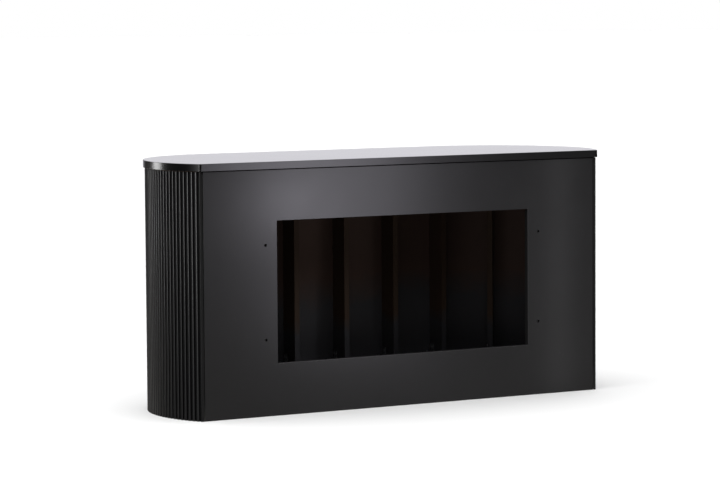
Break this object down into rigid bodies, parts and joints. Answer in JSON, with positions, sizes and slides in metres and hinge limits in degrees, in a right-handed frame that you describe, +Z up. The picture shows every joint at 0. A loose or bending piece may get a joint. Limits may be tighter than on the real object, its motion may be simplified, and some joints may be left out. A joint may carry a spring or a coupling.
{
  "type": "electric fireplace surround",
  "caption": "Free-standing black surround with a flat panel and a wide opening for an electric fire insert, a reeded shell with round ends, and a gloss slab top.",
  "frame": {"origin": "on the floor, under the middle of the overall box", "axes": "+X along the flat panel, to the right of someone facing it; +Y from the flat panel towards the reeded back; +Z up"},
  "size_m": [1.5608, 0.557, 0.7853],
  "materials": {
    "satin_black_lacquer": "satin black lacquer on fibreboard, fine sprayed texture",
    "gloss_black_lacquer": "polished gloss black lacquer on fibreboard",
    "raw_fibreboard": "unfinished brown fibreboard with black overspray",
    "zinc_plated_steel": "bright zinc plating"
  },
  "bodies": {
    "root": {"bottom_rail": "raw_fibreboard", "corner_post_left": "raw_fibreboard", "corner_post_right": "raw_fibreboard", "deck_board": "raw_fibreboard", "fluted_back": "satin_black_lacquer", "fluted_left_end": "satin_black_lacquer", "fluted_right_end": "satin_black_lacquer", "front_panel": "satin_black_lacquer", "plinth_back_rail": "raw_fibreboard", "plinth_cross_rail_1": "raw_fibreboard", "plinth_cross_rail_2": "raw_fibreboard", "plinth_cross_rail_3": "raw_fibreboard", "plinth_front_rail": "raw_fibreboard", "rail_screw_1": "zinc_plated_steel", "rail_screw_2": "zinc_plated_steel", "rail_screw_3": "zinc_plated_steel", "rail_screw_4": "zinc_plated_steel", "rib_back_1": "raw_fibreboard", "rib_back_2": "raw_fibreboard", "rib_back_3": "raw_fibreboard", "rib_back_4": "raw_fibreboard", "rib_bracket_back_1": "zinc_plated_steel", "rib_bracket_back_2": "zinc_plated_steel", "rib_bracket_back_3": "zinc_plated_steel", "rib_bracket_back_4": "zinc_plated_steel", "rib_bracket_joint_left": "zinc_plated_steel", "rib_bracket_joint_right": "zinc_plated_steel", "rib_bracket_left_1": "zinc_plated_steel", "rib_bracket_left_2": "zinc_plated_steel", "rib_bracket_left_3": "zinc_plated_steel", "rib_bracket_right_1": "zinc_plated_steel", "rib_bracket_right_2": "zinc_plated_steel", "rib_bracket_right_3": "zinc_plated_steel", "rib_joint_left": "raw_fibreboard", "rib_joint_right": "raw_fibreboard", "rib_left_1": "raw_fibreboard", "rib_left_2": "raw_fibreboard", "rib_left_3": "raw_fibreboard", "rib_right_1": "raw_fibreboard", "rib_right_2": "raw_fibreboard", "rib_right_3": "raw_fibreboard", "slab_flat_edge_band": "satin_black_lacquer", "slab_round_edge_band": "gloss_black_lacquer", "slab_screw_1": "zinc_plated_steel", "slab_screw_2": "zinc_plated_steel", "slab_screw_3": "zinc_plated_steel", "slab_screw_4": "zinc_plated_steel", "slab_screw_5": "zinc_plated_steel", "slab_screw_6": "zinc_plated_steel", "slab_screw_7": "zinc_plated_steel", "slab_screw_8": "zinc_plated_steel", "sub_top": "raw_fibreboard", "tee_nut_1": "zinc_plated_steel", "tee_nut_2": "zinc_plated_steel", "tee_nut_3": "zinc_plated_steel", "tee_nut_4": "zinc_plated_steel", "top_rail": "raw_fibreboard", "top_slab": "gloss_black_lacquer"}
  },
  "joints": []
}
